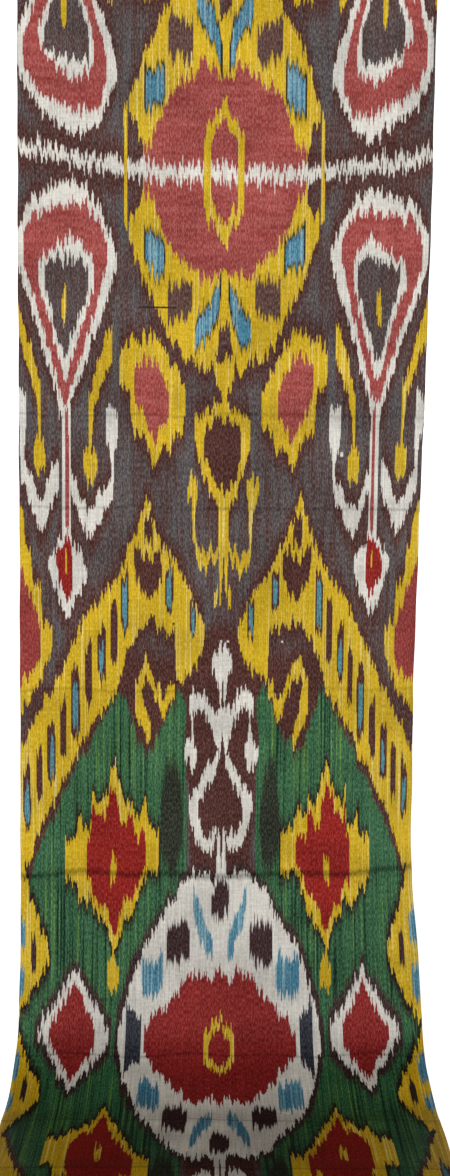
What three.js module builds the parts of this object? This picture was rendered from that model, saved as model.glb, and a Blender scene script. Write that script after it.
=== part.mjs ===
// A length of handwoven ikat cloth, hung by its top edge. The lower end sweeps forward and lies flat on a surface.
// Millimetres, +Z up. The origin is the middle of the top edge, and the patterned face looks along -Y.
import * as THREE from "three";

// Driving sizes of the cloth and of its hang.
const WIDTH = 420; // selvedge to selvedge, across X
const CUT_LENGTH = 1500; // along the warp, end to end
const HANG_HEIGHT = 1200; // from the top edge down to the surface that the lower end lies on
const THICKNESS = 1.2;

// The sweep between the straight drop and the lying end. The lean is the angle from upright, in degrees,
// and it changes evenly along each stretch, so that each one is an arc.
const SWEEP = [
  { length: 190, leanFrom: 0, leanTo: 12, steps: 6 }, // eases out of the drop
  { length: 62, leanFrom: 12, leanTo: 67, steps: 8 }, // turns tightly
  { length: 84, leanFrom: 67, leanTo: 90, steps: 5 }, // lands on the surface
];
const DROP_STEPS = 24;
const LYING_STEPS = 8;
const ACROSS_STEPS = 16;

// The right selvedge swings back from the rest of the face, most of all low in the drop.
const SWING = { depth: 38, fromX: 40, rises: [0, 880], falls: [970, 1185] };

// Flat creases left by folding the length away: distance down the cloth, how far the crease stands out of the
// face (behind it where negative), and the reach of its slopes.
const CREASES = [
  { down: 428, proud: -0.8, reach: 22 },
  { down: 618, proud: 1.2, reach: 26 },
  { down: 807, proud: -1.5, reach: 24 },
  { down: 999, proud: 1.8, reach: 24 },
];

// Slow waves of the hanging face: depth, and the length of one wave across and down.
const WAVES = [
  { depth: 1.6, across: 520, down: 610, phase: 0.6 },
  { depth: 1.1, across: 290, down: 1150, phase: 2.1 },
];

const radians = THREE.MathUtils.degToRad;
const smoothstep = THREE.MathUtils.smoothstep;

// How far one stretch of the sweep goes forward and down.
function travel(stretch, share) {
  const from = radians(stretch.leanFrom);
  const turn = radians(stretch.leanTo) - from;
  const radius = stretch.length / turn;
  const lean = from + turn * share;
  return {
    forward: radius * (Math.cos(from) - Math.cos(lean)),
    down: radius * (Math.sin(lean) - Math.sin(from)),
    lean,
  };
}

// The cloth's side view, as a list of stations from the top edge to the cut end of the lying stretch.
function sideView() {
  const ends = SWEEP.map((stretch) => travel(stretch, 1));
  const sweepDown = ends.reduce((sum, end) => sum + end.down, 0);
  const sweepLength = SWEEP.reduce((sum, stretch) => sum + stretch.length, 0);
  const drop = HANG_HEIGHT - sweepDown;
  const lying = CUT_LENGTH - drop - sweepLength;

  const stations = [];
  for (let i = 0; i <= DROP_STEPS; i++) {
    const along = (drop * i) / DROP_STEPS;
    stations.push({ along, forward: 0, down: along, lean: 0 });
  }
  let start = { along: drop, forward: 0, down: drop };
  SWEEP.forEach((stretch, k) => {
    for (let i = 1; i <= stretch.steps; i++) {
      const share = i / stretch.steps;
      const step = travel(stretch, share);
      stations.push({
        along: start.along + stretch.length * share,
        forward: start.forward + step.forward,
        down: start.down + step.down,
        lean: step.lean,
      });
    }
    start = {
      along: start.along + stretch.length,
      forward: start.forward + ends[k].forward,
      down: start.down + ends[k].down,
    };
  });
  for (let i = 1; i <= LYING_STEPS; i++) {
    const out = (lying * i) / LYING_STEPS;
    stations.push({
      along: start.along + out,
      forward: start.forward + out,
      down: HANG_HEIGHT,
      lean: Math.PI / 2,
    });
  }
  return stations;
}

// How far the selvedge has swung back at a place on the face, and how much that draws it in.
function swing(x, along) {
  const reach = WIDTH / 2 - SWING.fromX;
  const share = Math.max(0, x - SWING.fromX) / reach;
  const held = smoothstep(along, ...SWING.rises) * (1 - smoothstep(along, ...SWING.falls));
  const depth = SWING.depth * held;
  return {
    back: depth * share ** 2,
    drawnIn: ((2 / 3) * depth ** 2 * share ** 3) / reach,
  };
}

// Creases and waves, as a height above the smooth face. Both die away before the cloth meets the surface.
function relief(x, along, lean) {
  let height = 0;
  for (const crease of CREASES) {
    const away = Math.abs(along - crease.down) / crease.reach;
    height += crease.proud * Math.max(0, 1 - away);
  }
  for (const wave of WAVES) {
    const turns = x / wave.across + along / wave.down;
    height += wave.depth * Math.sin(2 * Math.PI * turns + wave.phase);
  }
  const hanging = Math.max(0, Math.cos(lean)) ** 2;
  const belowTop = smoothstep(along, 0, 120);
  return height * hanging * belowTop;
}

// A point of the cloth: layer 0 is its back, and layer 1 its patterned face.
function place(x, station, layer) {
  const { along, forward, down, lean } = station;
  const { back, drawnIn } = swing(x, along);
  const out = relief(x, along, lean) - back + layer * THICKNESS;
  return [x - drawnIn, -forward - out * Math.cos(lean), -down + out * Math.sin(lean)];
}

// The stations, with three more for each crease so that its slopes are straight.
function stationsWithCreases() {
  const stations = sideView();
  for (const crease of CREASES)
    for (const along of [crease.down - crease.reach, crease.down, crease.down + crease.reach]) {
      const after = stations.findIndex((s) => s.along > along);
      const [a, b] = [stations[after - 1], stations[after]];
      const share = (along - a.along) / (b.along - a.along);
      stations.splice(after, 0, {
        along,
        forward: THREE.MathUtils.lerp(a.forward, b.forward, share),
        down: THREE.MathUtils.lerp(a.down, b.down, share),
        lean: THREE.MathUtils.lerp(a.lean, b.lean, share),
      });
    }
  return stations;
}

// The closed sheet: a grid for the back, a grid for the face, and a rim that joins them.
function clothGeometry() {
  const stations = stationsWithCreases();
  const rows = stations.length;
  const columns = ACROSS_STEPS + 1;
  const points = [];
  for (const layer of [0, 1])
    for (const station of stations)
      for (let i = 0; i < columns; i++)
        points.push(...place(WIDTH * (i / ACROSS_STEPS - 0.5), station, layer));

  const vertex = (layer, row, column) => (layer * rows + row) * columns + column;
  const faces = [];
  const quad = (a, b, c, d) => faces.push(a, b, c, a, c, d);
  for (let r = 0; r < rows - 1; r++)
    for (let c = 0; c < columns - 1; c++) {
      quad(vertex(1, r, c), vertex(1, r + 1, c), vertex(1, r + 1, c + 1), vertex(1, r, c + 1));
      quad(vertex(0, r, c), vertex(0, r, c + 1), vertex(0, r + 1, c + 1), vertex(0, r + 1, c));
    }
  for (let r = 0; r < rows - 1; r++) {
    const last = columns - 1;
    quad(vertex(0, r, 0), vertex(0, r + 1, 0), vertex(1, r + 1, 0), vertex(1, r, 0));
    quad(vertex(1, r, last), vertex(1, r + 1, last), vertex(0, r + 1, last), vertex(0, r, last));
  }
  for (let c = 0; c < columns - 1; c++) {
    const last = rows - 1;
    quad(vertex(0, 0, c), vertex(1, 0, c), vertex(1, 0, c + 1), vertex(0, 0, c + 1));
    quad(vertex(1, last, c), vertex(0, last, c), vertex(0, last, c + 1), vertex(1, last, c + 1));
  }

  const geometry = new THREE.BufferGeometry();
  geometry.setAttribute("position", new THREE.Float32BufferAttribute(points, 3));
  geometry.setIndex(faces);
  geometry.computeVertexNormals();
  return geometry;
}

// Silk and cotton, seen from a distance as a dark ground with red and yellow.
const clothMaterial = new THREE.MeshStandardMaterial({
  color: new THREE.Color(0.36, 0.2, 0.12),
  roughness: 0.6,
  metalness: 0,
});

const cloth = new THREE.Mesh(clothGeometry(), clothMaterial);
cloth.name = "ikat_cloth";

const hanging = new THREE.Group();
hanging.add(cloth);

export default hanging;
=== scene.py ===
import math
from types import SimpleNamespace

import bpy
from mathutils import Matrix, Vector


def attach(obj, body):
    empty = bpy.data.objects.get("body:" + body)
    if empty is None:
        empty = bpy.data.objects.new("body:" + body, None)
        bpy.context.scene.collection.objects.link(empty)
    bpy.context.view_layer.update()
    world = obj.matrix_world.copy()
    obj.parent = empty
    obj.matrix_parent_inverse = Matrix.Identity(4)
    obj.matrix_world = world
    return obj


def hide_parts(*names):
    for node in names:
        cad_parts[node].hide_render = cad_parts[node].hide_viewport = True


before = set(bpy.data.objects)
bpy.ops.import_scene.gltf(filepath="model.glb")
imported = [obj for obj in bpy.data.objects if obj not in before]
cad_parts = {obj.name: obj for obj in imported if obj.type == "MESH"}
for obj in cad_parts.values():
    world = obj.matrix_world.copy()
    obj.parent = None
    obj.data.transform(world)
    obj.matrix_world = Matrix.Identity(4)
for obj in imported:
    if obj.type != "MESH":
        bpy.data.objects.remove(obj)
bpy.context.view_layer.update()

# A length of handwoven ikat cloth. It hangs by its top edge, and its lower end lies forward on a surface.
MM = 0.001  # metres in a millimetre: the frame is in metres, and the cloth's own sizes are in millimetres

# The cloth and its hang, as in the solid that it stands for
WIDTH = 420
CUT_LENGTH = 1500
HANG_HEIGHT = 1200
SWEEP = (  # each stretch: its length, and the lean from upright at its start and end, in degrees
    (190, 0, 12),
    (62, 12, 67),
    (84, 67, 90),
)
SWING_DEPTH = 38  # how far the right selvedge swings back
SWING_FROM = 40  # the swing starts this far right of the middle
SWING_RISES = (0, 880)
SWING_FALLS = (970, 1185)
WAVES = (  # slow waves of the face: depth, one wave across, one wave down, phase
    (1.6, 520, 610, 0.6),
    (1.1, 290, 1150, 2.1),
)
CREASES = (  # flat creases from folding: distance down, how far proud, reach of the slopes
    (428, -0.8, 22),
    (618, 1.2, 26),
    (807, -1.5, 24),
    (999, 1.8, 24),
)
LYING_CREASES = ((1187, 1.2, 18), (1285, 0.7, 14), (1375, 1.0, 20))
TOP_STRETCH = 120  # below the top edge, which is straight, the creases and waves come in over this stretch

# The woven sheet
SHEET_BACK = 0.1  # the sheet lies between these two heights over the back of the solid
SHEET_FACE = 0.6
CELL = 5  # size of the mesh's cells
SELVEDGE = 30  # the weft draws in a strip this wide at each side
SELVEDGE_DRAWN_IN = 0.6  # how far in, and how much more or less from place to place
SELVEDGE_UNEVEN = 0.5
SELVEDGE_LONG_WAVE = 31
SELVEDGE_SHORT_WAVE = 12.7

# The dyed pattern. It is mirrored from side to side about a middle line, and along the cloth about two lines.
MIDDLE = -2
FIRST_MIRROR = 281
UNIT = 896
HALF_SPAN = 214  # the widest reach from the middle line
UNIT_SPAN = 1000  # full scale of the distances along a unit
THREAD = 0.8
BOW_DEPTH = 12.2  # the pattern sits this much higher at BOW_AT from the middle than on it
BOW_AT = 155
SIDE_REACH = 0.45  # how far a figure reaches sideways past its outermost tie marks
SIDE_FADE = 0.3  # and over how much more it fades away
SLIT_BLUNT = 0.34  # share of a slit's length, either way from its middle, over which it has its full width
SLIT_SLANT = 4  # its two middle marks are offset by this much, so that its ends slant

# How far the tie marks stray from their places, at most, in millimetres
SWAY = 3  # sideways
SLOW_SLIP = 7  # a hand's breadth of warp together
BUNDLE_SLIP = 15.5  # the few threads that were tied together
THREAD_SLIP = 7.5

# The white line across the first mirror line
LINE_AT = FIRST_MIRROR + 1
LINE_HALF = 1.6
LINE_SPIKES = 9

# Tones of the dyes and of the undyed silk, as displayed, from 0 to 255. They hold a painted sheen: the silk's
# light haze is in them, while the shader's own gloss is kept low
TONES = {
    "white": (205, 201, 193),
    "yellow": (196, 163, 38),
    "pale yellow": (214, 192, 110),
    "rose": (158, 82, 78),
    "red": (140, 60, 56),
    "madder": (134, 46, 44),
    "deep red": (138, 38, 34),
    "blue": (70, 121, 144),
    "pale blue": (130, 162, 172),
    "teal": (84, 132, 142),
    "green": (60, 100, 70),
    "light green": (96, 132, 62),
    "dark green": (24, 42, 34),
    "slate": (88, 84, 84),
    "maroon": (80, 50, 45),
    "deep maroon": (64, 46, 46),
    "brown": (92, 68, 62),
    "shade": (48, 52, 42),
    "lens": (58, 60, 68),
    "dark": (46, 37, 34),
}
# Tones that come in over another in streaks: the noise at which each one starts, and at which it is full
COMES_IN = {
    "maroon": (0.35, 0.65),
    "green": (0.30, 0.50),
    "light green": (0.56, 0.70),
    "pale yellow": (0.60, 0.75),
    "pale blue": (0.45, 0.65),
}
HALO_STARTS = 36  # the ground turns maroon from this far off a light figure
HALO_FULL = 5
MOST_STRIPES = 0.65  # the largest share of maroon in the stripes of the open ground
MOST_RED_STREAKS = 0.7
THREADS_DIFFER = 0.3  # how much more or less maroon single threads have
HEART_MAROON = 0.45  # share of maroon in the hearts of the teardrops

# Noise for all that is uneven: the size of its spots across and along the warp, its seed, its finer octaves
NOISES = {
    "sway": (30, 1400, 1.9, 0),
    "slow slip": (70, 160, 3.3, 0),
    "bundle slip": (2.4, 70, 8.1, 0),
    "thread slip": (0.9, 90, 15.7, 0),
    "line spikes": (1.5, 200, 44, 0),
    "stripes": (9, 110, 21, 2),
    "threads": (1.7, 45, 25, 1),
    "streaks": (1.9, 240, 31, 2),
    "pale streaks": (1.3, 140, 35, 0),
    "red streaks": (30, 7, 38, 1),
    "dye": (1.5, 60, 51, 1),
    "picks": (14, 1.6, 55, 1),
    "clouds": (90, 45, 57, 1),
    "fold wander": (60, 300, 81, 0),
    "grain": (1.2, 4, 61, 1),
    "ribs": (2.5, 0.8, 71, 2),
}
USUAL_NOISE = (0.3, 0.7)  # nearly all noise lies between these values

# How much lighter or darker the cloth gets
DYE_UNEVEN = 0.12
PICKS_UNEVEN = 0.06
CLOUDS_UNEVEN = 0.12
DEEPEST_GRAIN = 1.22  # exponents on the colour, so that the dark tones change more than the light ones
LIGHTEST_GRAIN = 0.82
PAINTED_LYING_SHADE_FROM = (1145, 1215)  # painted shade on the lying end, which darkens its dark tones, from about here on
PAINTED_LYING_SHADE_DEPTH = 0.2  # added to the exponent
PAINTED_LYING_SHADE_LIFT = 0.09  # a painted lift of the light tones there, which makes up for it
FOLD_WANDER = 5  # how far a fold line strays from straight
PAINTED_FOLD_SHADES_AND_WEFT_BAND = (  # painted shade along the fold creases, across the cloth, the one at 1000 also a darker weft band: distance down, reach, darkest
    (523, 3, 0.8),
    (618, 3, 0.75),
    (807, 3, 0.8),
    (1000, 6, 0.5),
    (1187, 2.5, 0.7),
    (1285, 2.5, 0.75),
    (1375, 2.5, 0.75),
)
FLAWS = (  # small flaws of the weave: from and to across the cloth, distance down, half thickness, tone
    (-88, -50, 415, 0.9, "dark"),
    (-52, -50, 737, 1.0, "dark"),
    (-3, -1, 755, 0.9, "white"),
    (4, 6, 755, 0.9, "white"),
    (60, 62, 755, 0.9, "white"),
    (119, 122, 562, 2.2, "white"),
)

# The camera looks at the cloth from just over a metre in front, a little downwards.
CAMERA_AT = (-0.0121, -1.3774, -0.5926)
CAMERA_PITCH = 4.448
CAMERA_YAW = 0.572
CAMERA_ROLL = 0.389
PHOTO_HEIGHT = 1176
FOCAL_PIXELS = 1341.8
SENSOR = 36

# The studio: a pale floor in front, and a lit white sweep that starts under the cloth and rises behind it
STUDIO_REACH = 6.0
FLOOR_AT = -HANG_HEIGHT * MM - 0.0005  # half a millimetre under the lying end
FLOOR_TONE = (225, 225, 222)
SWEEP_TONE = (245, 245, 245)
SWEEP_FROM = -0.45
SWEEP_WALL = 5.8
SWEEP_BEND = 0.8
SWEEP_STEPS = 10
SWEEP_TOP = 2.4
ROOM_LIGHT = 0.04
LIGHTS = (  # name, where it is, what it faces, its width and height, power, spread in degrees
    ("left_soft", (-2.7, -2.3, -0.6), (0, 0, -0.25), (1.2, 1.4), 19, 75),
    ("right_soft", (3.2, -1.8, -0.6), (0, 0, -0.25), (1.2, 1.4), 16, 75),
    ("high_soft", (0.1, -2.8, 0.95), (0, 0, -0.2), (1.6, 0.7), 2.4, 60),
)

# The figures in one unit. Each row is a tie mark on the warp: its distance from the middle line, and where
# the dyed stretch starts and ends, measured down the unit. Between rows the edges run straight.
MEDALLION = (
    (0, 0, 147), (5, 0, 150), (6, 0, 170), (10, 0, 185), (15, 0, 197), (21, 0, 199), (28, 0, 190),
    (43, 0, 182), (50, 0, 175), (57, 0, 160), (65, 0, 143), (72, 0, 130), (77, 0, 120), (82, 0, 107),
    (82.5, 24, 106), (87, 28, 92), (88.5, 44, 88), (92, 46, 77), (97, 48, 66),
)
MEDALLION_LINE = ((97.5, 0, 62), (102.5, 0, 52))
MEDALLION_CORE = (
    (0, 0, 94), (5, 0, 91), (9, 0, 98), (20, 0, 103), (28, 0, 97), (35, 0, 90), (43, 0, 85), (50, 0, 80),
    (57, 0, 70), (62, 0, 58), (67, 0, 45), (72, 0, 35), (77, 0, 25), (81.5, 0, 20),
)
RING_CROWN = ((0, 46, 70), (2, 45, 68), (4, 43, 60), (8, 38, 54), (11, 32, 49), (14, 24, 45))
RING_SIDE = ((13, 0, 45), (16.5, 0, 41), (20, 0, 33))
OUTER_SQUARE = ((61, 71, 103), (66, 67, 101), (73, 62, 94), (81, 57, 88))
INNER_SQUARE = ((31, 107, 137), (38, 107, 142), (47, 109, 146), (57, 111, 150))
STROKE = ((4, 95, 118), (8, 113, 141), (14, 129, 157), (20, 138, 166), (25, 146, 174), (28, 152, 171))

TEAR_OUTER = (
    (109, 83, 97), (115, 68, 121), (120, 54, 138), (125, 44, 154), (130, 35, 169), (140, 29, 201),
    (150, 26, 233), (155, 26, 251), (158, 27, 264), (165, 30, 246), (172, 34, 222), (180, 39, 198),
    (190, 47, 168), (200, 61, 139), (205, 72, 125), (210, 86, 111),
)
TEAR_RED = (
    (119, 76, 101), (125, 57, 127), (130, 49, 147), (140, 47, 181), (150, 47, 217), (155, 49, 236),
    (158, 50, 248), (162, 51, 239), (170, 53, 213), (180, 57, 180), (190, 63, 150), (198, 74, 124),
    (203, 90, 110),
)
TEAR_INNER = (
    (131, 100, 117), (135, 88, 133), (140, 84, 154), (145, 80, 170), (150, 76, 188), (155, 79, 209),
    (158, 82, 222), (162, 86, 210), (170, 91, 180), (180, 100, 148), (188, 110, 122),
)
TEAR_HEART = (
    (137, 97, 128), (140, 97, 139), (150, 95, 170), (158, 98, 201), (165, 100, 183), (175, 103, 146),
    (181, 105, 127),
)
TEAR_SEED = ((156, 140, 154), (158, 130, 164), (160, 127, 167), (162.5, 140, 156))
STEM_LINE = ((153.5, 250, 384), (162, 250, 384))
STEM_CORE = ((155.9, 250, 376), (159.6, 250, 376))
OUTER_DROP = (
    (201, 241, 270), (202, 238, 274), (202.5, 237, 332), (206, 236, 330), (206.5, 236, 277),
    (212, 243, 270),
)
OUTER_VEE = (
    (165, 300, 330), (170, 305, 340), (175, 319, 354), (180, 335, 370), (185, 348, 381), (190, 340, 372),
    (195, 328, 360), (200, 317, 347), (206, 306, 330),
)
INNER_DROP = (
    (109, 250, 274), (112, 240, 284), (112.7, 240, 325), (114.7, 240, 328), (115.4, 241, 286),
    (121, 250, 276),
)
INNER_VEE = (
    (113, 305, 330), (120, 316, 338), (125, 327, 355), (130, 337, 366), (136, 346, 374), (142, 341, 364),
    (147, 328, 350), (152, 312, 336), (156, 298, 325),
)
OUTER_BRANCH = (
    (185, 226, 290), (187.5, 224, 290), (190, 212, 237), (195, 196, 223), (200, 181, 209), (205, 165, 195),
    (211, 141, 181),
)
OUTER_BUD = ((180, 290, 310), (184, 284, 318), (189, 284, 318), (193, 290, 309))
INNER_BRANCH = (
    (113, 155, 190), (118, 166, 201), (123, 181, 217), (128, 197, 232), (133, 218, 250), (135, 232, 290),
    (137.5, 234, 290),
)
INNER_BUD = ((129, 290, 308), (134, 284, 317), (139, 284, 318), (143, 292, 310))
SMALL_DIAMOND = (
    (139, 400, 413), (145, 390, 431), (150, 382, 443), (155, 374, 453), (158, 370, 459), (162, 376, 452),
    (167, 389, 439), (172, 399, 426), (177, 409, 417),
)
SMALL_DIAMOND_RED = (
    (147, 400, 412), (152, 387, 428), (158, 376, 443), (163, 388, 430), (169, 401, 416),
)
SMALL_DIAMOND_SEED = ((157, 396, 412), (158.5, 391, 417), (160, 396, 411))

CROSS = ((0, 182, 240), (2.5, 184, 238), (3, 186, 218), (6, 184, 214), (10, 182, 203))
VASE = (
    (0, 232, 344), (4, 234, 336), (8, 236, 326), (13, 238, 317), (17, 241, 309), (20, 243, 301),
    (24, 245, 291), (26, 246, 280), (29.5, 248, 271),
)
VASE_INSIDE = (
    (0, 247, 319), (4, 248, 315), (8, 250, 308), (12, 252, 300), (16, 255, 291), (19.5, 260, 281),
)
STALK = ((0, 325, 380), (1.4, 325, 380), (1.5, 325, 428), (4.3, 328, 434), (4.6, 332, 378), (5.2, 336, 374))
STALK_FOOT = ((4.5, 418, 436), (9, 426, 444))
ARM_BUD = ((25, 308, 322), (27.5, 301, 331), (28, 301, 366), (31, 301, 366), (31.5, 301, 332), (37, 308, 324))
ARM_VEE = (
    (4, 366, 379), (8, 372, 386), (14, 381, 398), (19, 387, 409), (23, 381, 403), (27, 370, 389),
    (31, 354, 372),
)
TULIP = (
    (38, 222, 252), (42, 212, 258), (48, 200, 262), (52, 196, 268), (54, 193, 289), (57, 181, 274),
    (62, 176, 275), (66, 168, 285), (71, 164, 299), (75, 164, 284), (80, 165, 266), (88, 169, 263),
    (94, 173, 258), (96, 174, 224), (107, 181, 214),
)
TULIP_RED = (
    (54, 222, 244), (60, 208, 252), (65, 198, 259), (70, 191, 272), (75, 190, 262), (80, 189, 247),
    (86, 190, 238), (91.5, 191, 234),
)

MOUNTAIN = (
    (16, 464, 477), (20, 456, 487), (25, 443, 496), (30, 430, 505), (36, 419, 512), (43, 410, 519),
    (48, 401, 524), (48.5, 400, 470), (55, 388, 468), (60, 379, 465), (65, 370, 462), (70, 357, 459),
    (74, 343, 458), (78, 324, 459), (83, 342, 464), (88, 359, 471), (94, 373, 482), (100, 389, 494),
    (107, 407, 522), (113, 417, 540), (120, 426, 551), (130, 440, 565), (140, 459, 583), (150, 480, 610),
    (157, 499, 623), (165, 520, 640), (172, 536, 659), (180, 550, 675), (190, 570, 700), (200, 591, 731),
    (213, 618, 756),
)
PEAK_LOZENGE = ((71, 355, 370), (76, 345, 380), (82, 354, 372))
PEAK_HEART = (
    (61, 388, 412), (67, 383, 424), (71, 386, 430), (76, 394, 437), (81, 391, 430), (86, 388, 420),
    (91, 396, 411),
)
BAND_SLITS = (  # slits across the band: distance from the middle, width, start and end
    (30, 8, 432, 474),
    (54.5, 8, 398, 450),
    (89.5, 5, 374, 409),
    (100.5, 9, 404, 474),
    (112, 7, 436, 508),
    (124.5, 8, 460, 526),
    (136.5, 7, 484, 558),
    (149.5, 8, 508, 592),
    (162.5, 7, 545, 613),
    (174.5, 8, 570, 642),
    (187, 8, 602, 663),
    (201, 9, 622, 692),
)
BAND_SLIT_HEARTS = (
    (30, 4.5, 438, 470), (54.5, 4.5, 406, 444), (100.5, 5.5, 412, 466), (124.5, 4.5, 482, 516),
    (149.5, 4.5, 532, 580), (174.5, 4.5, 588, 636), (201, 5.5, 642, 682),
)
EM_VEE = (
    (48, 515, 532), (54, 525, 545), (58, 533, 556), (61, 536, 559), (65, 526, 546), (69, 518, 533),
    (73, 509, 525), (77, 497, 519), (80, 494, 517), (84, 502, 522), (88, 516, 533),
)
EM_LEG = ((73, 570, 584), (77, 560, 582), (81, 547, 577), (85, 518, 568), (90, 521, 552))

SELVEDGE_FLAME = (
    (174, 472, 502), (180, 472, 515), (184.5, 470, 526), (185, 437, 528), (192, 433, 542),
    (195.5, 430, 550), (196, 394, 551), (203, 390, 564), (204, 360, 566), (213, 352, 580),
)
SELVEDGE_RED = ((186, 476, 511), (191, 459, 518), (197, 446, 527), (203, 430, 535), (213, 410, 546))

UNDER_MOUNTAIN = (
    (0, 455, 560), (16, 462, 580), (50, 490, 600), (100, 490, 640), (130, 520, 680), (213, 690, 800),
)
GREEN_FIELD = (
    (36, 541, 1000), (40, 530, 1000), (45, 531, 1000), (50, 540, 1000), (55, 556, 1000), (60, 566, 1000),
    (65, 576, 1000), (76, 592, 1000), (80, 595, 1000), (85, 588, 1000), (90, 573, 1000), (95, 558, 1000),
    (100, 543, 1000), (104, 533, 1000), (110, 537, 1000), (116, 551, 1000), (122, 564, 1000),
    (130, 577, 1000), (138, 593, 1000), (145, 610, 1000), (158, 638, 1000), (172, 674, 1000),
    (188, 710, 1000), (200, 746, 1000), (213, 776, 1000),
)
GREEN_SHADE = ((40, 650, 672), (43, 622, 700), (47, 604, 716), (52, 596, 722), (57, 612, 712), (62, 645, 690))
FLAME_DIAMOND = (
    (62.5, 678, 721), (69, 670, 721), (73, 671, 715), (76.5, 676, 720), (76.9, 656, 722), (80, 646, 725),
    (83, 654, 733), (86.5, 668, 741), (91, 657, 758), (91.5, 645, 761), (96, 653, 767), (99, 646, 773),
    (101, 653, 778), (104, 636, 781), (108, 618, 795), (111, 606, 808), (114, 615, 802), (118, 638, 788),
    (119.5, 643, 776), (124, 651, 773), (128, 657, 769), (132, 646, 764), (134.3, 634, 760),
    (134.8, 682, 759), (142, 679, 759), (146, 674, 755), (148.2, 662, 752), (148.6, 697, 741),
    (156, 698, 744), (160.5, 693, 738),
)
FLAME_RED = (
    (78.5, 682, 714), (81, 674, 718), (84, 680, 723), (87, 689, 728), (90, 681, 737), (91.5, 665, 741),
    (95, 660, 744), (98, 666, 748), (101, 674, 754), (105, 663, 767), (109, 645, 785), (112, 634, 791),
    (115, 638, 776), (118.5, 647, 768), (119.5, 664, 756), (124, 669, 759), (128, 671, 757),
    (131, 664, 754), (134.3, 653, 746), (134.8, 689, 740), (140, 691, 743), (147, 687, 740),
)
FLAME_SEED = ((108.5, 710, 730), (116, 709, 731))
FLAME_DROP = (
    (105.5, 824, 841), (109, 818, 848), (110.5, 818, 848), (110.6, 800, 848), (112.5, 800, 848),
    (112.6, 818, 848), (114, 818, 848), (117, 824, 842),
)

FINIAL = (
    (0, 481, 507), (1.1, 481, 508), (1.4, 481, 550), (3.1, 482, 550), (3.5, 483, 514), (7, 488, 511),
    (10, 494, 508),
)
CANDLE = (
    (0, 543, 588), (4, 545, 589), (7, 546, 577), (10, 542, 564), (13, 537, 556), (18, 531, 549),
    (23, 527, 546), (29, 528, 549), (33, 533, 556),
)
CANDLE_DROP = (
    (25, 585, 596), (28, 578, 604), (29.7, 578, 605), (30, 545, 605), (31.4, 545, 606), (31.7, 578, 606),
    (38.5, 586, 600),
)
PEAR = (
    (3, 588, 668), (8, 595, 697), (15, 607, 694), (22, 619, 689), (27, 627, 680), (32, 637, 660),
    (34, 644, 653),
)
PEAR_INSIDE = ((0, 570, 669), (4, 604, 671), (8, 614, 676), (14, 625, 677), (20, 635, 668), (24.5, 643, 656))
CANDLE_GROUND = ((0, 515, 735), (30, 530, 735), (34, 545, 625), (38, 560, 600))

WHITE_MEDALLION = (
    (0, 722, 1000), (1.3, 722, 1000), (1.7, 668, 1000), (3.9, 669, 1000), (4.3, 723, 1000), (10, 726, 1000),
    (16, 721, 1000), (24, 719, 1000), (36, 725, 1000), (43, 732, 1000), (50, 743, 1000), (57, 757, 1000),
    (65, 771, 1000), (73, 785, 1000), (80, 798, 1000), (86, 815, 1000), (91, 831, 1000), (96, 849, 1000),
    (99, 862, 1000), (103, 878, 1000), (105, 888, 1000),
)
WHITE_MEDALLION_LENS = ((81.5, 872, 1000), (87, 869, 1000), (92, 863, 1000), (97.5, 854, 1000))
WHITE_MEDALLION_SEAM = ((101, 866, 1000), (102.2, 870, 1000))
WHITE_MEDALLION_CORE = (
    (0, 817, 1000), (2, 819, 1000), (6, 829, 1000), (10, 827, 1000), (20, 822, 1000), (30, 820, 1000),
    (36, 828, 1000), (43, 838, 1000), (50, 846, 1000), (57, 855, 1000), (65, 866, 1000), (72, 875, 1000),
    (79, 884, 1000),
)
LOWER_RING = (
    (0, 865, 873), (4, 866, 876), (8, 870, 882), (11.5, 874, 889), (12.3, 877, 1000), (16.2, 883, 1000),
)
LOWER_OUTER_SQUARE = ((57.5, 806, 836), (64, 806, 846), (73, 808, 850), (82, 813, 846))
LOWER_INNER_SQUARE = ((31, 776, 806), (37, 769, 811), (45, 768, 813), (56, 775, 808))
LOWER_STROKE = ((6, 790, 806), (8, 786, 806), (13, 773, 802), (19, 758, 789), (25, 742, 775), (29, 736, 756))
LOWER_SEED = ((0, 731, 771), (4, 732, 768), (9.5, 737, 757))

SIDE_DIAMOND = (
    (115, 888, 1000), (122, 876, 1000), (128, 868, 1000), (134, 858, 1000), (140, 849, 1000),
    (146, 838, 1000), (151, 828, 1000), (156, 840, 1000), (162, 852, 1000), (168, 863, 1000),
    (175, 876, 1000), (182, 886, 1000), (188, 894, 1000),
)
SIDE_DIAMOND_RED = (
    (128, 884, 1000), (134, 873, 1000), (140, 864, 1000), (146, 853, 1000), (151, 843, 1000),
    (156, 855, 1000), (162, 867, 1000), (170, 880, 1000), (176, 889, 1000),
)
CHEVRON = (
    (177, 813, 825), (182, 800, 835), (188, 787, 845), (195, 771, 858), (200, 754, 868), (206, 742, 880),
    (213, 734, 896),
)
CHEVRON_BAR = ((190, 808, 828), (193, 799, 838), (198, 803, 835))
CHEVRON_EYE_ABOVE = ((203, 790, 810), (206, 785, 813), (213, 784, 814))
CHEVRON_EYE_BELOW = ((203, 838, 862), (206, 834, 867), (213, 834, 868))


def smoothstep(value, low, high):
    share = min(1, max(0, (value - low) / (high - low)))
    return share * share * (3 - 2 * share)


def linear(tone):
    """A displayed tone, from 0 to 255, as the linear colour that a shader takes."""
    shares = [c / 255 for c in tone]
    return [c / 12.92 if c <= 0.04045 else ((c + 0.055) / 1.055) ** 2.4 for c in shares]


# The shape of the hanging cloth
def travel(stretch, share):
    """How far one stretch of the sweep goes forward and down, and its lean there."""
    length, start, end = stretch
    start, end = math.radians(start), math.radians(end)
    radius = length / (end - start)
    lean = start + (end - start) * share
    return radius * (math.cos(start) - math.cos(lean)), radius * (math.sin(lean) - math.sin(start)), lean


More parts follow.
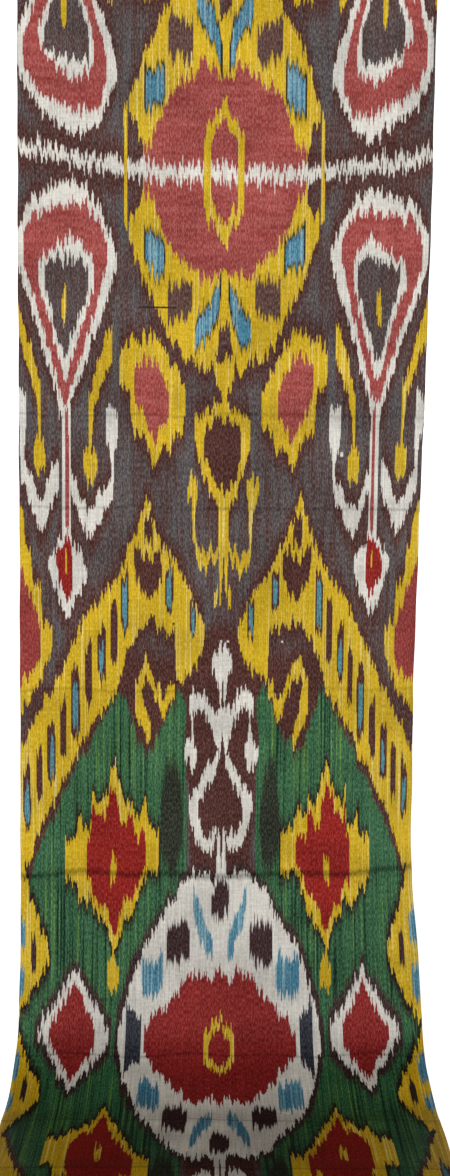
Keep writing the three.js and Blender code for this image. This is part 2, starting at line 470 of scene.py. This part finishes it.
def side_view(along):
    """Forward travel, drop and lean at a distance along the cloth."""
    ends = [travel(stretch, 1) for stretch in SWEEP]
    straight = HANG_HEIGHT - sum(end[1] for end in ends)
    if along <= straight:
        return 0, along, 0
    left, forward, down = along - straight, 0, straight
    for stretch, end in zip(SWEEP, ends):
        if left <= stretch[0]:
            step = travel(stretch, left / stretch[0])
            return forward + step[0], down + step[1], step[2]
        left, forward, down = left - stretch[0], forward + end[0], down + end[1]
    return forward + left, HANG_HEIGHT, math.pi / 2


def swing(across, along):
    """How far the selvedge has swung back, and how much that draws it in."""
    reach = WIDTH / 2 - SWING_FROM
    share = max(0, across - SWING_FROM) / reach
    depth = SWING_DEPTH * smoothstep(along, *SWING_RISES) * (1 - smoothstep(along, *SWING_FALLS))
    return depth * share**2, 2 / 3 * depth**2 * share**3 / reach


def crease_height(along, creases):
    """A soft ridge or trough, rounded at its top and feet."""
    height = 0
    for down, proud, reach in creases:
        away = abs(along - down) / reach
        height += proud * (1 - smoothstep(away, 0, 1))
    return height


def relief(across, along, lean):
    """Height of the creases and waves over the smooth face."""
    waves = 0
    for depth, wide, long, phase in WAVES:
        turns = across / wide + along / long
        waves += depth * math.sin(2 * math.pi * turns + phase)
    hanging = max(0, math.cos(lean)) ** 2
    below_top = smoothstep(along, 0, TOP_STRETCH)
    return (waves + crease_height(along, CREASES)) * hanging * below_top + crease_height(along, LYING_CREASES)


def selvedge_wander(across, along):
    """The selvedges aren't ruled lines: the weft draws them in a little more here, a little less there."""
    edge = max(0, abs(across) - WIDTH / 2 + SELVEDGE) / SELVEDGE
    side = 1 if across > 0 else -1
    long_wave = math.sin(along / SELVEDGE_LONG_WAVE + side)
    short_wave = math.sin(along / SELVEDGE_SHORT_WAVE + 2 * side)
    wander = 0.5 * long_wave + 0.5 * short_wave
    return -side * edge**2 * (SELVEDGE_DRAWN_IN + SELVEDGE_UNEVEN * wander)


def place(across, along, height):
    """A point of the sheet in the frame, at a height over the back of the solid."""
    forward, down, lean = side_view(along)
    back, drawn_in = swing(across, along)
    out = relief(across, along, lean) - back + height
    x = across - drawn_in + selvedge_wander(across, along)
    y = -forward - out * math.cos(lean)
    z = -down + out * math.sin(lean)
    return Vector((x, y, z)) * MM


def sheet_faces(rows, columns):
    """Corners of a closed sheet: a grid for the back, a grid for the face, and a rim that joins them."""

    def vertex(layer, row, column):
        return (layer * rows + row) * columns + column

    faces = []
    for r in range(rows - 1):
        for c in range(columns - 1):
            faces.append((vertex(1, r, c), vertex(1, r + 1, c), vertex(1, r + 1, c + 1), vertex(1, r, c + 1)))
            faces.append((vertex(0, r, c), vertex(0, r, c + 1), vertex(0, r + 1, c + 1), vertex(0, r + 1, c)))
    last = columns - 1
    for r in range(rows - 1):
        faces.append((vertex(0, r, 0), vertex(0, r + 1, 0), vertex(1, r + 1, 0), vertex(1, r, 0)))
        faces.append((vertex(1, r, last), vertex(1, r + 1, last), vertex(0, r + 1, last), vertex(0, r, last)))
    last = rows - 1
    for c in range(columns - 1):
        faces.append((vertex(0, 0, c), vertex(1, 0, c), vertex(1, 0, c + 1), vertex(0, 0, c + 1)))
        faces.append((vertex(1, last, c), vertex(0, last, c), vertex(0, last, c + 1), vertex(1, last, c + 1)))
    return faces


def woven_sheet():
    """The cloth's mesh. Each point keeps its place on the flat cloth, which the dyed pattern goes by."""
    columns = WIDTH // CELL + 1
    rows = CUT_LENGTH // CELL + 1
    places = [(c * CELL - WIDTH / 2, r * CELL) for r in range(rows) for c in range(columns)]
    points = [place(across, along, height) for height in (SHEET_BACK, SHEET_FACE) for across, along in places]
    mesh = bpy.data.meshes.new("ikat_cloth_woven")
    mesh.from_pydata(points, [], sheet_faces(rows, columns))
    across_the_warp = mesh.attributes.new("across", "FLOAT", "POINT")
    along_the_warp = mesh.attributes.new("along", "FLOAT", "POINT")
    across_the_warp.data.foreach_set("value", [across for across, along in places] * 2)
    along_the_warp.data.foreach_set("value", [along for across, along in places] * 2)
    flat_map = mesh.uv_layers.new(name="OFBake")
    for corner in mesh.loops:
        across, along = places[corner.vertex_index % len(places)]
        flat_map.data[corner.index].uv = (across / WIDTH + 0.5, 1 - along / CUT_LENGTH)
    mesh.shade_smooth()
    return mesh


# Shader nodes, by short names
class Nodes:
    """Adds nodes to a material, each linked to what it reads."""

    def __init__(self, material):
        self.tree = material.node_tree

    def add(self, kind, inputs=(), **settings):
        node = self.tree.nodes.new(kind)
        for name, value in settings.items():
            setattr(node, name, value)
        for slot, value in dict(inputs).items():
            if isinstance(value, bpy.types.NodeSocket):
                self.tree.links.new(value, node.inputs[slot])
            else:
                node.inputs[slot].default_value = value
        return node

    def math(self, operation, *values):
        return self.add("ShaderNodeMath", dict(enumerate(values)), operation=operation).outputs[0]

    def vector(self, x, y, z=0):
        return self.add("ShaderNodeCombineXYZ", {0: x, 1: y, 2: z}).outputs[0]

    def noise(self, across, along, name):
        """Smooth noise, from 0 to 1."""
        wide, long, seed, detail = NOISES[name]
        x = self.math("MULTIPLY", across, 1 / wide)
        y = self.math("MULTIPLY", along, 1 / long)
        where = self.vector(x, y, seed)
        node = self.add("ShaderNodeTexNoise", {"Vector": where, "Scale": 1, "Detail": detail})
        return node.outputs["Fac"]

    def ramp(self, value, low, high, to_low=0, to_high=1):
        inputs = {0: value, 1: low, 2: high, 3: to_low, 4: to_high}
        return self.add("ShaderNodeMapRange", inputs, interpolation_type="SMOOTHSTEP", clamp=False).outputs[0]

    def between(self, noise, to_low, to_high):
        """Noise, spread from one value to another."""
        return self.ramp(noise, *USUAL_NOISE, to_low, to_high)

    def stray(self, noise, most):
        """Noise as a distance either way from 0."""
        return self.math("MULTIPLY_ADD", noise, 2 * most, -most)

    def mix(self, share, under, over, blend="MIX"):
        """One colour over another. The node takes its share at input 0, and the colours at 6 and 7."""
        node = self.add("ShaderNodeMix", data_type="RGBA", blend_type=blend)
        for slot, value in ((0, share), (6, under), (7, over)):
            if isinstance(value, bpy.types.NodeSocket):
                self.tree.links.new(value, node.inputs[slot])
            elif slot == 0:
                node.inputs[slot].default_value = value
            else:
                node.inputs[slot].default_value = (*value, 1)
        return node.outputs[2]


def grown(marks, across, along):
    """The same figure with a rim around it."""
    first, last = marks[0][0], marks[-1][0]
    middle = (first + last) / 2
    stretch = (last - first + 2 * across) / (last - first)
    wider = [(max(0, middle + (a - middle) * stretch), start - along, end + along) for a, start, end in marks]
    return tuple(wider)


def slits(rows):
    """Long narrow lozenges, each on a few threads."""
    figures = []
    for across, width, start, end in rows:
        middle = (start + end) / 2
        blunt = (end - start) * SLIT_BLUNT
        figures.append((
            (across - width / 2, middle - blunt, middle + blunt),
            (across - width / 6, start, end - SLIT_SLANT),
            (across + width / 6, start + SLIT_SLANT, end),
            (across + width / 2, middle - blunt, middle + blunt),
        ))
    return figures


CRISP = 1.8  # how far the ends of most figures fade

# The layers of dye, each over the ones before: its tone, how far its ends fade, and its figures. The figures
# of one layer share no thread. "line" is the white line. The white medallion is grown without its stem.
GROUND_LAYERS = (
    ("maroon", 16, (UNDER_MOUNTAIN,)),
    ("green", 5, (GREEN_FIELD,)),
    ("shade", 22, (GREEN_SHADE,)),
    ("dark", 14, (grown(FLAME_DIAMOND, 1, 10), grown(CHEVRON, 1, 14))),
    ("maroon", 5, (CANDLE_GROUND,)),
    ("deep maroon", 9, (grown(WHITE_MEDALLION[4:], 4, 11), grown(SIDE_DIAMOND, 3, 12))),
)
SILK_LAYERS = (
    ("yellow", CRISP, (MEDALLION, INNER_BRANCH, OUTER_BRANCH)),
    ("white", CRISP, (TEAR_OUTER,)),
    ("rose", CRISP, (MEDALLION_CORE,)),
    ("rose", CRISP, (TEAR_RED,)),
    ("white", CRISP, (TEAR_INNER,)),
    ("heart", CRISP, (TEAR_HEART,)),
    ("brown", 4, (INNER_SQUARE,)),
    ("line", 2, ()),
    ("yellow", CRISP, (RING_CROWN, MEDALLION_LINE, TEAR_SEED)),
    ("white", CRISP, (INNER_DROP, STEM_LINE, OUTER_DROP)),
    ("white", CRISP, (INNER_VEE, OUTER_VEE)),
    ("yellow", CRISP, (CROSS, TULIP, INNER_BUD, OUTER_BUD)),
    ("yellow", CRISP, (VASE, EM_VEE, SELVEDGE_FLAME)),
    ("yellow", CRISP, (STALK, ARM_BUD, EM_LEG)),
    ("yellow", CRISP, (ARM_VEE,)),
    ("rose", CRISP, (TULIP_RED, STEM_CORE)),
    ("red", CRISP, (SELVEDGE_RED,)),
    ("yellow", CRISP, (MOUNTAIN,)),
    ("maroon", CRISP, (VASE_INSIDE, PEAK_LOZENGE)),
    ("maroon", CRISP, (PEAK_HEART,)),
    ("maroon", 3, slits(BAND_SLITS)),
    ("teal", 3, slits(BAND_SLIT_HEARTS)),
    ("white", CRISP, (FINIAL, CANDLE_DROP, SMALL_DIAMOND)),
    ("white", CRISP, (CANDLE,)),
    ("white", CRISP, (PEAR,)),
    ("maroon", CRISP, (PEAR_INSIDE,)),
    ("yellow", CRISP, (STALK_FOOT, FLAME_DIAMOND, CHEVRON)),
    ("deep red", CRISP, (FLAME_RED, SMALL_DIAMOND_RED)),
    ("yellow", CRISP, (RING_SIDE, FLAME_SEED, SMALL_DIAMOND_SEED)),
    ("white", CRISP, (WHITE_MEDALLION, SIDE_DIAMOND)),
    ("lens", 2.5, (WHITE_MEDALLION_LENS, WHITE_MEDALLION_SEAM)),
    ("madder", CRISP, (WHITE_MEDALLION_CORE, SIDE_DIAMOND_RED)),
    ("yellow", CRISP, (LOWER_RING,)),
    ("deep maroon", 5, (LOWER_SEED, LOWER_INNER_SQUARE, CHEVRON_BAR)),
    ("blue", 4, (LOWER_STROKE, LOWER_OUTER_SQUARE, CHEVRON_EYE_ABOVE)),
    ("dark", 7, (grown(STROKE, 1, 5), grown(OUTER_SQUARE, 1.5, 5))),
    ("blue", 4, (STROKE, OUTER_SQUARE, CHEVRON_EYE_BELOW)),
)
# Light figures that have maroon ground just past their ends, where the dyes overlap
HALO_FIGURES = (
    (MEDALLION, INNER_BRANCH, OUTER_BRANCH),
    (TEAR_OUTER,),
    (CROSS, TULIP),
    (VASE, EM_VEE, SMALL_DIAMOND, SELVEDGE_FLAME),
    (INNER_VEE, OUTER_VEE),
    (MOUNTAIN,),
)


def tie_curves(nodes, figures, reach):
    """Curves over the distance from the middle: where a figure's middle is on a thread, and half its length.

    The half length is kept as a share from 0, for a figure that isn't on this thread, to 1.
    """
    rows = [(0, 0, -UNIT_SPAN)]
    for marks in figures:
        marks = [(a, (start + end) / 2, (end - start) / 2) for a, start, end in marks]
        first, last = marks[0], marks[-1]
        if first[0] > 0:
            rows.append((first[0] - SIDE_REACH - SIDE_FADE, first[1], -UNIT_SPAN))
            rows.append((first[0] - SIDE_REACH, first[1], first[2]))
        else:
            rows.clear()
        rows += marks
        rows.append((last[0] + SIDE_REACH, last[1], last[2]))
        rows.append((last[0] + SIDE_REACH + SIDE_FADE, last[1], -UNIT_SPAN))
    rows.append((HALF_SPAN + 1, 0, -UNIT_SPAN))
    node = nodes.add("ShaderNodeVectorCurve", {"Vector": reach})
    middles, halves, unused = node.mapping.curves
    for curve in (middles, halves):
        while len(curve.points) < len(rows):
            curve.points.new(0, 0)
    for row, middle, half in zip(rows, middles.points, halves.points):
        across = min(1, row[0] / HALF_SPAN)
        middle.location = (across, row[1] / UNIT_SPAN)
        half.location = (across, (row[2] / UNIT_SPAN + 1) / 2)
        middle.handle_type = half.handle_type = "VECTOR"
    unused.points[0].location = (0, 0)
    unused.points[1].location = (1, 0)
    node.mapping.update()
    return node.outputs["Vector"]


def inside(nodes, figures, reach, down):
    """How deep inside a figure a spot lies along its thread, in millimetres, and below 0 outside it."""
    marks = tie_curves(nodes, figures, reach)
    gaps = nodes.add("ShaderNodeVectorMath", {0: down, 1: marks}, operation="SUBTRACT")
    sizes = nodes.add("ShaderNodeVectorMath", {0: gaps.outputs[0]}, operation="ABSOLUTE")
    weights = (-UNIT_SPAN, 2 * UNIT_SPAN, -UNIT_SPAN)
    depth = nodes.add("ShaderNodeVectorMath", {0: sizes.outputs[0], 1: weights}, operation="DOT_PRODUCT")
    return depth.outputs["Value"]


def down_a_unit(nodes, distance):
    """A distance down the unit, in the form that is compared with the tie curves."""
    return nodes.vector(nodes.math("MULTIPLY", distance, 1 / UNIT_SPAN), 0, 1)


def find_spot(nodes):
    """Where a spot lies on the flat cloth, and where in the pattern.

    Threads slip against each other before they are woven, so each one carries its marks a little off.
    """
    across = nodes.add("ShaderNodeAttribute", attribute_name="across").outputs["Fac"]
    along = nodes.add("ShaderNodeAttribute", attribute_name="along").outputs["Fac"]
    thread = nodes.math("SNAP", across, THREAD)
    sideways = nodes.stray(nodes.noise(thread, along, "sway"), SWAY)
    from_middle = nodes.math("ABSOLUTE", nodes.math("ADD", nodes.math("SUBTRACT", thread, MIDDLE), sideways))
    bow = nodes.math("MULTIPLY", nodes.math("MULTIPLY", from_middle, from_middle), BOW_DEPTH / BOW_AT**2)
    straightened = nodes.math("ADD", along, bow)

    slow_slip = nodes.stray(nodes.noise(across, along, "slow slip"), SLOW_SLIP)
    bundle_slip = nodes.stray(nodes.noise(thread, along, "bundle slip"), BUNDLE_SLIP)
    thread_slip = nodes.stray(nodes.noise(thread, along, "thread slip"), THREAD_SLIP)
    slip = nodes.math("ADD", nodes.math("ADD", slow_slip, bundle_slip), thread_slip)
    slipped = nodes.math("ADD", straightened, slip)
    past_mirror = nodes.math("SUBTRACT", slipped, FIRST_MIRROR)
    down = down_a_unit(nodes, nodes.math("PINGPONG", past_mirror, UNIT))
    share = nodes.math("MULTIPLY", from_middle, 1 / HALF_SPAN)
    reach = nodes.vector(share, share, share)
    return SimpleNamespace(
        across=across,
        along=along,
        thread=thread,
        slipped=slipped,
        past_mirror=past_mirror,
        down=down,
        reach=reach,
    )


def white_line(nodes, spot):
    """How deep inside the white line a spot lies. The line has spikes both ways."""
    off_line = nodes.math("ABSOLUTE", nodes.math("SUBTRACT", spot.slipped, LINE_AT))
    spikes = nodes.noise(spot.thread, spot.along, "line spikes")
    spikes = nodes.math("MULTIPLY_ADD", spikes, LINE_SPIKES, LINE_HALF)
    return nodes.math("SUBTRACT", spikes, off_line)


def dyed_tones(nodes, spot, line_depth):
    """The tones by name, with those that a dye gives only in streaks mixed together."""
    tones = {name: linear(tone) for name, tone in TONES.items()}
    nearest = line_depth
    for figures in HALO_FIGURES:
        nearest = nodes.math("MAXIMUM", nearest, inside(nodes, figures, spot.reach, spot.down))
    near_figure = nodes.ramp(nearest, -HALO_STARTS, -HALO_FULL)
    stripes = nodes.noise(spot.thread, spot.along, "stripes")
    stripes = nodes.ramp(stripes, *COMES_IN["maroon"], 0, MOST_STRIPES)
    threads = nodes.noise(spot.thread, spot.along, "threads")
    threads = nodes.between(threads, -THREADS_DIFFER, THREADS_DIFFER)
    maroon_share = nodes.math("ADD", nodes.math("MAXIMUM", near_figure, stripes), threads)
    tones["ground"] = nodes.mix(maroon_share, tones["slate"], tones["maroon"])
    tones["heart"] = nodes.mix(nodes.math("ADD", threads, HEART_MAROON), tones["slate"], tones["maroon"])

    streaks = nodes.noise(spot.thread, spot.along, "streaks")
    shaded = nodes.mix(nodes.ramp(streaks, *COMES_IN["green"]), tones["dark green"], tones["green"])
    tones["green"] = nodes.mix(nodes.ramp(streaks, *COMES_IN["light green"]), shaded, tones["light green"])
    pale_streaks = nodes.noise(spot.thread, spot.along, "pale streaks")
    pale_streaks = nodes.ramp(pale_streaks, *COMES_IN["pale yellow"])
    tones["yellow"] = nodes.mix(pale_streaks, tones["yellow"], tones["pale yellow"])
    red_streaks = nodes.noise(spot.across, spot.along, "red streaks")
    red_streaks = nodes.between(red_streaks, 0, MOST_RED_STREAKS)
    tones["rose"] = nodes.mix(red_streaks, tones["rose"], tones["red"])
    tones["blue"] = nodes.mix(nodes.ramp(streaks, *COMES_IN["pale blue"]), tones["blue"], tones["pale blue"])
    return tones


def dyed_pattern(nodes, spot):
    """The colour of the dyed figures on their ground, with the flaws of the weave."""
    line_depth = white_line(nodes, spot)
    tones = dyed_tones(nodes, spot, line_depth)
    colour = tones["ground"]
    for tone, softness, figures in GROUND_LAYERS + SILK_LAYERS:
        if tone == "line":
            depth, tone = line_depth, "white"
        else:
            depth = inside(nodes, figures, spot.reach, spot.down)
        share = nodes.math("MULTIPLY_ADD", depth, 1 / softness, 0.5)
        colour = nodes.mix(share, colour, tones[tone])

    # The small drops under the flame diamonds aren't repeated past the second mirror line
    depth = inside(nodes, (FLAME_DROP,), spot.reach, down_a_unit(nodes, spot.past_mirror))
    colour = nodes.mix(nodes.math("MULTIPLY_ADD", depth, 1 / CRISP, 0.5), colour, tones["yellow"])

    for start, end, down_the_cloth, half_thickness, tone in FLAWS:
        off_middle = nodes.math("ABSOLUTE", nodes.math("SUBTRACT", spot.across, (start + end) / 2))
        off_weft = nodes.math("ABSOLUTE", nodes.math("SUBTRACT", spot.along, down_the_cloth))
        beside = nodes.math("SUBTRACT", off_middle, (end - start) / 2)
        beyond = nodes.math("SUBTRACT", off_weft, half_thickness)
        share = nodes.math("SUBTRACT", 0.5, nodes.math("MAXIMUM", beside, beyond))
        colour = nodes.mix(share, colour, tones[tone])
    return colour


def shaded_weave(nodes, spot, colour):
    """The colour with its uneven dye, picks and clouds, painted shade along the fold creases and on the lying
    end, and the grain of the weave.
    """
    uneven = nodes.noise(spot.thread, spot.along, "dye")
    uneven = nodes.between(uneven, 1 - DYE_UNEVEN, 1 + DYE_UNEVEN)
    picks = nodes.noise(spot.across, spot.along, "picks")
    picks = nodes.between(picks, 1 - PICKS_UNEVEN, 1 + PICKS_UNEVEN)
    clouds = nodes.noise(spot.across, spot.along, "clouds")
    clouds = nodes.between(clouds, 1 - CLOUDS_UNEVEN, 1 + CLOUDS_UNEVEN)
    light = nodes.math("MULTIPLY", nodes.math("MULTIPLY", uneven, picks), clouds)
    wandering = nodes.stray(nodes.noise(spot.across, spot.along, "fold wander"), FOLD_WANDER)
    wandering = nodes.math("ADD", spot.along, wandering)
    # Painted shade along the fold creases; the one at 1000 is also a darker weft band
    for down_the_cloth, reach_of_shade, darkest in PAINTED_FOLD_SHADES_AND_WEFT_BAND:
        off_fold = nodes.math("ABSOLUTE", nodes.math("SUBTRACT", wandering, down_the_cloth))
        light = nodes.math("MULTIPLY", light, nodes.ramp(off_fold, 0, reach_of_shade, darkest, 1))
    # Painted shade on the lying end: its light tones are lifted a little here, and its dark tones deepened
    # through the grain's exponent below
    painted_lying_shade = nodes.ramp(spot.along, *PAINTED_LYING_SHADE_FROM)
    light = nodes.math("MULTIPLY", light, nodes.math("MULTIPLY_ADD", painted_lying_shade, PAINTED_LYING_SHADE_LIFT, 1))
    colour = nodes.mix(1, colour, nodes.vector(light, light, light), "MULTIPLY")
    grain = nodes.noise(spot.across, spot.along, "grain")
    grain = nodes.between(grain, DEEPEST_GRAIN, LIGHTEST_GRAIN)
    # the painted shade of the lying end deepens the dark tones
    grain = nodes.math("MULTIPLY_ADD", painted_lying_shade, PAINTED_LYING_SHADE_DEPTH, grain)
    return nodes.add("ShaderNodeGamma", {"Color": colour, "Gamma": grain}).outputs[0]


def ikat_material():
    """Warp-dyed silk: every figure has straight sides along the warp and feathered ends."""
    material = bpy.data.materials.new("ikat_silk")
    material.use_nodes = True
    nodes = Nodes(material)
    spot = find_spot(nodes)
    colour = shaded_weave(nodes, spot, dyed_pattern(nodes, spot))

    # Fine crosswise ribs of the weft under the warp
    ribs = nodes.noise(spot.across, spot.along, "ribs")
    bump = nodes.add("ShaderNodeBump", {"Height": ribs, "Strength": 0.25, "Distance": 0.0004}).outputs[0]

    shader = nodes.tree.nodes["Principled BSDF"]
    nodes.tree.links.new(colour, shader.inputs["Base Color"])
    nodes.tree.links.new(bump, shader.inputs["Normal"])
    shader.inputs["Roughness"].default_value = 0.5
    shader.inputs["Specular IOR Level"].default_value = 0.03
    return material


def plain_material(name, tone, glow=0):
    material = bpy.data.materials.new(name)
    material.use_nodes = True
    shader = material.node_tree.nodes["Principled BSDF"]
    colour = (*linear(tone), 1)
    shader.inputs["Base Color"].default_value = colour
    shader.inputs["Roughness"].default_value = 0.9
    shader.inputs["Emission Color"].default_value = colour
    shader.inputs["Emission Strength"].default_value = glow
    return material


def make_cloth():
    cloth = bpy.data.objects.new("ikat_cloth_woven", woven_sheet())
    bpy.context.scene.collection.objects.link(cloth)
    cloth.data.materials.append(ikat_material())
    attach(cloth, "root")
    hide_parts("ikat_cloth")


def make_stage_piece(name, profile, material):
    """A strip as wide as the studio along a side view, given as pairs of y and z."""
    points = [(x, y, z) for y, z in profile for x in (-STUDIO_REACH, STUDIO_REACH)]
    faces = [(2 * i, 2 * i + 1, 2 * i + 3, 2 * i + 2) for i in range(len(profile) - 1)]
    mesh = bpy.data.meshes.new(name)
    mesh.from_pydata(points, [], faces)
    mesh.shade_smooth()
    strip = bpy.data.objects.new(name, mesh)
    strip.data.materials.append(material)
    bpy.context.scene.collection.objects.link(strip)


def make_stage():
    """A plain pale floor, and behind the cloth a lit white sweep."""
    floor = [(-STUDIO_REACH, FLOOR_AT), (SWEEP_FROM, FLOOR_AT)]
    make_stage_piece("studio_floor", floor, plain_material("floor_pale", FLOOR_TONE))
    sweep = [(SWEEP_FROM, FLOOR_AT)]
    for i in range(SWEEP_STEPS + 1):
        turn = math.pi / 2 * i / SWEEP_STEPS
        y = SWEEP_WALL - SWEEP_BEND + SWEEP_BEND * math.sin(turn)
        sweep.append((y, FLOOR_AT + SWEEP_BEND - SWEEP_BEND * math.cos(turn)))
    sweep.append((SWEEP_WALL, SWEEP_TOP))
    make_stage_piece("studio_sweep", sweep, plain_material("sweep_white", SWEEP_TONE, glow=1))


def make_light(name, at, towards, size, power, spread):
    lamp = bpy.data.lights.new(name, "AREA")
    lamp.shape = "RECTANGLE"
    lamp.size, lamp.size_y = size
    lamp.energy = power
    lamp.spread = math.radians(spread)
    holder = bpy.data.objects.new(name, lamp)
    holder.location = at
    holder.rotation_euler = (Vector(towards) - Vector(at)).to_track_quat("-Z", "Y").to_euler()
    bpy.context.scene.collection.objects.link(holder)


def make_lights():
    world = bpy.data.worlds.new("studio")
    world.use_nodes = True
    background = world.node_tree.nodes["Background"]
    background.inputs["Color"].default_value = (1, 1, 1, 1)
    background.inputs["Strength"].default_value = ROOM_LIGHT
    bpy.context.scene.world = world
    for light in LIGHTS:
        make_light(*light)
    bpy.context.scene.view_settings.view_transform = "Standard"


def make_camera():
    pitch, yaw, roll = (math.radians(a) for a in (CAMERA_PITCH, CAMERA_YAW, CAMERA_ROLL))
    ahead = Vector((math.sin(yaw) * math.cos(pitch), math.cos(yaw) * math.cos(pitch), -math.sin(pitch)))
    level = Vector((math.cos(yaw), -math.sin(yaw), 0))
    upright = level.cross(ahead)
    right = level * math.cos(roll) + upright * math.sin(roll)
    up = upright * math.cos(roll) - level * math.sin(roll)
    camera = bpy.data.cameras.new("camera")
    camera.sensor_fit = "VERTICAL"
    camera.sensor_height = SENSOR
    camera.lens = FOCAL_PIXELS / PHOTO_HEIGHT * SENSOR
    holder = bpy.data.objects.new("camera", camera)
    axes = Matrix((right, up, -ahead)).transposed().to_4x4()
    holder.matrix_world = Matrix.Translation(CAMERA_AT) @ axes
    bpy.context.scene.collection.objects.link(holder)
    bpy.context.scene.camera = holder


make_camera()
make_cloth()
make_stage()
make_lights()
